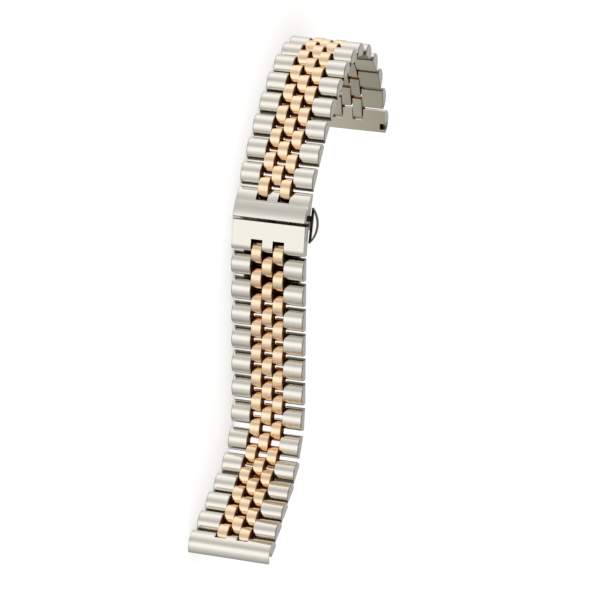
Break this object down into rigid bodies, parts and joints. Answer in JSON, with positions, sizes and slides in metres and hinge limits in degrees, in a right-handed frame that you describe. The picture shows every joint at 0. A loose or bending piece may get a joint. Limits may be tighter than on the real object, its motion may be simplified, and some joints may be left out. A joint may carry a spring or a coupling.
{
  "type": "watch bracelet",
  "caption": "Two-tone watch bracelet of half-round steel rows and rose-gold centre links, all hinged on pins, with a folding clasp and crescent pusher; it stands on edge, curled.",
  "frame": {"origin": "bottom centre of the bounding box, on the table under the strap", "axes": "+Z across the strap, from its left edge on the table to its right edge; +X along the standing strap towards the lower end link; -Y towards the viewer, out of the clasp's face"},
  "size_m": [0.129, 0.0636, 0.0204],
  "materials": {
    "polished_steel": "polished stainless steel",
    "brushed_steel": "fine brushed",
    "rose_gold": "polished rose-gold plate"
  },
  "bodies": {
    "clasp_frame": {"upper_cover": "polished_steel", "fixed_blade": "brushed_steel", "blade_hinge_pin": "brushed_steel", "pusher_spring": "brushed_steel"},
    "folding_blade": {"folding_blade": "brushed_steel"},
    "lower_cover": {"lower_cover": "polished_steel", "cover_hinge_pin": "brushed_steel"},
    "pusher": {"pusher": "polished_steel"},
    "upper_pair_1": {"upper_pair_1": "rose_gold"},
    "upper_row_1": {"upper_row_1": "polished_steel"},
    "upper_pair_2": {"upper_pair_2": "rose_gold"},
    "upper_row_2": {"upper_row_2": "polished_steel"},
    "upper_pair_3": {"upper_pair_3": "rose_gold"},
    "upper_row_3": {"upper_row_3": "polished_steel"},
    "upper_pair_4": {"upper_pair_4": "rose_gold"},
    "upper_row_4": {"upper_row_4": "polished_steel"},
    "upper_pair_5": {"upper_pair_5": "rose_gold"},
    "upper_row_5": {"upper_row_5": "polished_steel"},
    "upper_pair_6": {"upper_pair_6": "rose_gold"},
    "upper_row_6": {"upper_row_6": "polished_steel"},
    "upper_pair_7": {"upper_pair_7": "rose_gold"},
    "upper_row_7": {"upper_row_7": "polished_steel"},
    "upper_pair_8": {"upper_pair_8": "rose_gold"},
    "upper_row_8": {"upper_row_8": "polished_steel"},
    "upper_pair_9": {"upper_pair_9": "rose_gold"},
    "upper_row_9": {"upper_row_9": "polished_steel"},
    "upper_pair_10": {"upper_pair_10": "rose_gold"},
    "upper_row_10": {"upper_row_10": "polished_steel"},
    "upper_pair_11": {"upper_pair_11": "rose_gold"},
    "upper_row_11": {"upper_row_11": "polished_steel"},
    "upper_pair_12": {"upper_pair_12": "rose_gold"},
    "upper_row_12": {"upper_row_12": "polished_steel"},
    "upper_pair_13": {"upper_pair_13": "rose_gold"},
    "upper_end_link": {"upper_end_link": "polished_steel"},
    "lower_pair_1": {"lower_pair_1": "rose_gold"},
    "lower_row_1": {"lower_row_1": "polished_steel"},
    "lower_pair_2": {"lower_pair_2": "rose_gold"},
    "lower_row_2": {"lower_row_2": "polished_steel"},
    "lower_pair_3": {"lower_pair_3": "rose_gold"},
    "lower_row_3": {"lower_row_3": "polished_steel"},
    "lower_pair_4": {"lower_pair_4": "rose_gold"},
    "lower_row_4": {"lower_row_4": "polished_steel"},
    "lower_pair_5": {"lower_pair_5": "rose_gold"},
    "lower_row_5": {"lower_row_5": "polished_steel"},
    "lower_pair_6": {"lower_pair_6": "rose_gold"},
    "lower_row_6": {"lower_row_6": "polished_steel"},
    "lower_pair_7": {"lower_pair_7": "rose_gold"},
    "lower_row_7": {"lower_row_7": "polished_steel"},
    "lower_pair_8": {"lower_pair_8": "rose_gold"},
    "lower_row_8": {"lower_row_8": "polished_steel"},
    "lower_pair_9": {"lower_pair_9": "rose_gold"},
    "lower_row_9": {"lower_row_9": "polished_steel"},
    "lower_pair_10": {"lower_pair_10": "rose_gold"},
    "lower_row_10": {"lower_row_10": "polished_steel"},
    "lower_pair_11": {"lower_pair_11": "rose_gold"},
    "lower_row_11": {"lower_row_11": "polished_steel"},
    "lower_pair_12": {"lower_pair_12": "rose_gold"},
    "lower_row_12": {"lower_row_12": "polished_steel"},
    "lower_pair_13": {"lower_pair_13": "rose_gold"},
    "lower_end_link": {"lower_end_link": "polished_steel"}
  },
  "joints": [
    {"name": "clasp_fold", "type": "hinge", "parent": "clasp_frame", "child": "folding_blade", "pos_m": [0.00065, -0.01868, 0.009], "axis": [0, 0, 1], "range_deg": [0, 165]},
    {"name": "cover_fold", "type": "hinge", "parent": "folding_blade", "child": "lower_cover", "pos_m": [-0.01414, -0.0251, 0.009], "axis": [0, 0, 1], "range_deg": [-165, 0]},
    {"name": "pusher_press", "type": "slide", "parent": "clasp_frame", "child": "pusher", "axis": [0, 0, -1], "range_m": [0, 0.0005], "stiffness_N_per_m": 800, "springref_m": -0.001, "deforming": ["pusher_spring"]},
    {"name": "upper_pair_1_hinge", "type": "hinge", "parent": "clasp_frame", "child": "upper_pair_1", "pos_m": [-0.0227, -0.02706, 0.009], "axis": [0, 0, 1], "range_deg": [-11.6, 28.4]},
    {"name": "upper_row_1_hinge", "type": "hinge", "parent": "upper_pair_1", "child": "upper_row_1", "pos_m": [-0.02593, -0.02641, 0.009], "axis": [0, 0, -1], "range_deg": [-28.4, 11.6]},
    {"name": "upper_pair_2_hinge", "type": "hinge", "parent": "upper_row_1", "child": "upper_pair_2", "pos_m": [-0.02904, -0.02529, 0.009], "axis": [0, 0, 1], "range_deg": [-18.1, 21.9]},
    {"name": "upper_row_2_hinge", "type": "hinge", "parent": "upper_pair_2", "child": "upper_row_2", "pos_m": [-0.0321, -0.02407, 0.009], "axis": [0, 0, -1], "range_deg": [-21.9, 18.1]},
    {"name": "upper_pair_3_hinge", "type": "hinge", "parent": "upper_row_2", "child": "upper_pair_3", "pos_m": [-0.03513, -0.02275, 0.009], "axis": [0, 0, 1], "range_deg": [-18.1, 21.9]},
    {"name": "upper_row_3_hinge", "type": "hinge", "parent": "upper_pair_3", "child": "upper_row_3", "pos_m": [-0.0381, -0.02133, 0.009], "axis": [0, 0, -1], "range_deg": [-21.9, 18.1]},
    {"name": "upper_pair_4_hinge", "type": "hinge", "parent": "upper_row_3", "child": "upper_pair_4", "pos_m": [-0.04104, -0.01981, 0.009], "axis": [0, 0, 1], "range_deg": [-18.1, 21.9]},
    {"name": "upper_row_4_hinge", "type": "hinge", "parent": "upper_pair_4", "child": "upper_row_4", "pos_m": [-0.04391, -0.0182, 0.009], "axis": [0, 0, -1], "range_deg": [-21.9, 18.1]},
    {"name": "upper_pair_5_hinge", "type": "hinge", "parent": "upper_row_4", "child": "upper_pair_5", "pos_m": [-0.04673, -0.01649, 0.009], "axis": [0, 0, 1], "range_deg": [-16.62, 23.38]},
    {"name": "upper_row_5_hinge", "type": "hinge", "parent": "upper_pair_5", "child": "upper_row_5", "pos_m": [-0.04945, -0.01461, 0.009], "axis": [0, 0, -1], "range_deg": [-23.38, 16.62]},
    {"name": "upper_pair_6_hinge", "type": "hinge", "parent": "upper_row_5", "child": "upper_pair_6", "pos_m": [-0.05205, -0.01258, 0.009], "axis": [0, 0, 1], "range_deg": [-15.14, 24.86]},
    {"name": "upper_row_6_hinge", "type": "hinge", "parent": "upper_pair_6", "child": "upper_row_6", "pos_m": [-0.05447, -0.01034, 0.009], "axis": [0, 0, -1], "range_deg": [-24.86, 15.14]},
    {"name": "upper_pair_7_hinge", "type": "hinge", "parent": "upper_row_6", "child": "upper_pair_7", "pos_m": [-0.0567, -0.0079, 0.009], "axis": [0, 0, 1], "range_deg": [-13.66, 26.34]},
    {"name": "upper_row_7_hinge", "type": "hinge", "parent": "upper_pair_7", "child": "upper_row_7", "pos_m": [-0.05863, -0.00523, 0.009], "axis": [0, 0, -1], "range_deg": [-26.34, 13.66]},
    {"name": "upper_pair_8_hinge", "type": "hinge", "parent": "upper_row_7", "child": "upper_pair_8", "pos_m": [-0.06026, -0.00236, 0.009], "axis": [0, 0, 1], "range_deg": [-12.17, 27.83]},
    {"name": "upper_row_8_hinge", "type": "hinge", "parent": "upper_pair_8", "child": "upper_row_8", "pos_m": [-0.06149, 0.0007, 0.009], "axis": [0, 0, -1], "range_deg": [-27.83, 12.17]},
    {"name": "upper_pair_9_hinge", "type": "hinge", "parent": "upper_row_8", "child": "upper_pair_9", "pos_m": [-0.06229, 0.00391, 0.0091], "axis": [0, 0, 1], "range_deg": [-10.69, 29.31]},
    {"name": "upper_row_9_hinge", "type": "hinge", "parent": "upper_pair_9", "child": "upper_row_9", "pos_m": [-0.06255, 0.0072, 0.0091], "axis": [0, 0, -1], "range_deg": [-29.31, 10.69]},
    {"name": "upper_pair_10_hinge", "type": "hinge", "parent": "upper_row_9", "child": "upper_pair_10", "pos_m": [-0.06229, 0.01048, 0.0093], "axis": [0, 0, 1], "range_deg": [-10.99, 29.01]},
    {"name": "upper_row_10_hinge", "type": "hinge", "parent": "upper_pair_10", "child": "upper_row_10", "pos_m": [-0.06151, 0.01369, 0.0093], "axis": [0, 0, -1], "range_deg": [-29.01, 10.99]},
    {"name": "upper_pair_11_hinge", "type": "hinge", "parent": "upper_row_10", "child": "upper_pair_11", "pos_m": [-0.06024, 0.01674, 0.0095], "axis": [0, 0, 1], "range_deg": [-12.47, 27.53]},
    {"name": "upper_row_11_hinge", "type": "hinge", "parent": "upper_pair_11", "child": "upper_row_11", "pos_m": [-0.05858, 0.01959, 0.0095], "axis": [0, 0, -1], "range_deg": [-27.53, 12.47]},
    {"name": "upper_pair_12_hinge", "type": "hinge", "parent": "upper_row_11", "child": "upper_pair_12", "pos_m": [-0.05656, 0.0222, 0.0097], "axis": [0, 0, 1], "range_deg": [-13.95, 26.05]},
    {"name": "upper_row_12_hinge", "type": "hinge", "parent": "upper_pair_12", "child": "upper_row_12", "pos_m": [-0.05427, 0.02458, 0.0097], "axis": [0, 0, -1], "range_deg": [-26.05, 13.95]},
    {"name": "upper_pair_13_hinge", "type": "hinge", "parent": "upper_row_12", "child": "upper_pair_13", "pos_m": [-0.05175, 0.02671, 0.0099], "axis": [0, 0, 1], "range_deg": [-15.43, 24.57]},
    {"name": "upper_end_link_hinge", "type": "hinge", "parent": "upper_pair_13", "child": "upper_end_link", "pos_m": [-0.04907, 0.02863, 0.0099], "axis": [0, 0, -1], "range_deg": [-24.57, 15.43]},
    {"name": "lower_pair_1_hinge", "type": "hinge", "parent": "lower_cover", "child": "lower_pair_1", "pos_m": [-0.01005, -0.02607, 0.009], "axis": [0, 0, 1], "range_deg": [-26.5, 0]},
    {"name": "lower_row_1_hinge", "type": "hinge", "parent": "lower_pair_1", "child": "lower_row_1", "pos_m": [-0.00692, -0.02502, 0.009], "axis": [0, 0, -1], "range_deg": [0, 26.5]},
    {"name": "lower_pair_2_hinge", "type": "hinge", "parent": "lower_row_1", "child": "lower_pair_2", "pos_m": [-0.00392, -0.02362, 0.009], "axis": [0, 0, 1], "range_deg": [-20, 0]},
    {"name": "lower_row_2_hinge", "type": "hinge", "parent": "lower_pair_2", "child": "lower_row_2", "pos_m": [-0.00093, -0.02223, 0.009], "axis": [0, 0, -1], "range_deg": [0, 20]},
    {"name": "lower_pair_3_hinge", "type": "hinge", "parent": "lower_row_2", "child": "lower_pair_3", "pos_m": [0.00206, -0.02083, 0.009], "axis": [0, 0, 1], "range_deg": [-20, 20]},
    {"name": "lower_row_3_hinge", "type": "hinge", "parent": "lower_pair_3", "child": "lower_row_3", "pos_m": [0.00505, -0.01944, 0.009], "axis": [0, 0, -1], "range_deg": [-20, 20]},
    {"name": "lower_pair_4_hinge", "type": "hinge", "parent": "lower_row_3", "child": "lower_pair_4", "pos_m": [0.00804, -0.01805, 0.009], "axis": [0, 0, 1], "range_deg": [-20, 20]},
    {"name": "lower_row_4_hinge", "type": "hinge", "parent": "lower_pair_4", "child": "lower_row_4", "pos_m": [0.01103, -0.01665, 0.009], "axis": [0, 0, -1], "range_deg": [-20, 20]},
    {"name": "lower_pair_5_hinge", "type": "hinge", "parent": "lower_row_4", "child": "lower_pair_5", "pos_m": [0.01402, -0.01526, 0.009], "axis": [0, 0, 1], "range_deg": [-20, 20]},
    {"name": "lower_row_5_hinge", "type": "hinge", "parent": "lower_pair_5", "child": "lower_row_5", "pos_m": [0.01701, -0.01386, 0.009], "axis": [0, 0, -1], "range_deg": [-20, 20]},
    {"name": "lower_pair_6_hinge", "type": "hinge", "parent": "lower_row_5", "child": "lower_pair_6", "pos_m": [0.02, -0.01247, 0.009], "axis": [0, 0, 1], "range_deg": [-20, 20]},
    {"name": "lower_row_6_hinge", "type": "hinge", "parent": "lower_pair_6", "child": "lower_row_6", "pos_m": [0.02299, -0.01107, 0.009], "axis": [0, 0, -1], "range_deg": [-20, 20]},
    {"name": "lower_pair_7_hinge", "type": "hinge", "parent": "lower_row_6", "child": "lower_pair_7", "pos_m": [0.02598, -0.00968, 0.009], "axis": [0, 0, 1], "range_deg": [-15.43, 24.57]},
    {"name": "lower_row_7_hinge", "type": "hinge", "parent": "lower_pair_7", "child": "lower_row_7", "pos_m": [0.02908, -0.00853, 0.009], "axis": [0, 0, -1], "range_deg": [-24.57, 15.43]},
    {"name": "lower_pair_8_hinge", "type": "hinge", "parent": "lower_row_7", "child": "lower_pair_8", "pos_m": [0.03225, -0.00762, 0.009], "axis": [0, 0, 1], "range_deg": [-7.82, 32.18]},
    {"name": "lower_row_8_hinge", "type": "hinge", "parent": "lower_pair_8", "child": "lower_row_8", "pos_m": [0.03554, -0.00741, 0.009], "axis": [0, 0, -1], "range_deg": [-32.18, 7.82]},
    {"name": "lower_pair_9_hinge", "type": "hinge", "parent": "lower_row_8", "child": "lower_pair_9", "pos_m": [0.03881, -0.0079, 0.0091], "axis": [0, 0, 1], "range_deg": [-6.3, 33.7]},
    {"name": "lower_row_9_hinge", "type": "hinge", "parent": "lower_pair_9", "child": "lower_row_9", "pos_m": [0.04186, -0.00915, 0.0091], "axis": [0, 0, -1], "range_deg": [-33.7, 6.3]},
    {"name": "lower_pair_10_hinge", "type": "hinge", "parent": "lower_row_9", "child": "lower_pair_10", "pos_m": [0.04453, -0.01108, 0.0093], "axis": [0, 0, 1], "range_deg": [-13.91, 26.09]},
    {"name": "lower_row_10_hinge", "type": "hinge", "parent": "lower_pair_10", "child": "lower_row_10", "pos_m": [0.04699, -0.01329, 0.0093], "axis": [0, 0, -1], "range_deg": [-26.09, 13.91]},
    {"name": "lower_pair_11_hinge", "type": "hinge", "parent": "lower_row_10", "child": "lower_pair_11", "pos_m": [0.04919, -0.01575, 0.0095], "axis": [0, 0, 1], "range_deg": [-20, 20]},
    {"name": "lower_row_11_hinge", "type": "hinge", "parent": "lower_pair_11", "child": "lower_row_11", "pos_m": [0.0514, -0.0182, 0.0095], "axis": [0, 0, -1], "range_deg": [-20, 20]},
    {"name": "lower_pair_12_hinge", "type": "hinge", "parent": "lower_row_11", "child": "lower_pair_12", "pos_m": [0.0536, -0.02066, 0.0097], "axis": [0, 0, 1], "range_deg": [-20, 20]},
    {"name": "lower_row_12_hinge", "type": "hinge", "parent": "lower_pair_12", "child": "lower_row_12", "pos_m": [0.05581, -0.02311, 0.0097], "axis": [0, 0, -1], "range_deg": [-20, 20]},
    {"name": "lower_pair_13_hinge", "type": "hinge", "parent": "lower_row_12", "child": "lower_pair_13", "pos_m": [0.05801, -0.02557, 0.0099], "axis": [0, 0, 1], "range_deg": [-20, 20]},
    {"name": "lower_end_link_hinge", "type": "hinge", "parent": "lower_pair_13", "child": "lower_end_link", "pos_m": [0.06021, -0.02803, 0.0099], "axis": [0, 0, -1], "range_deg": [-20, 20]}
  ],
  "couplings": [
    {"joint": "cover_fold", "follows": "clasp_fold", "ratio": -1}
  ]
}
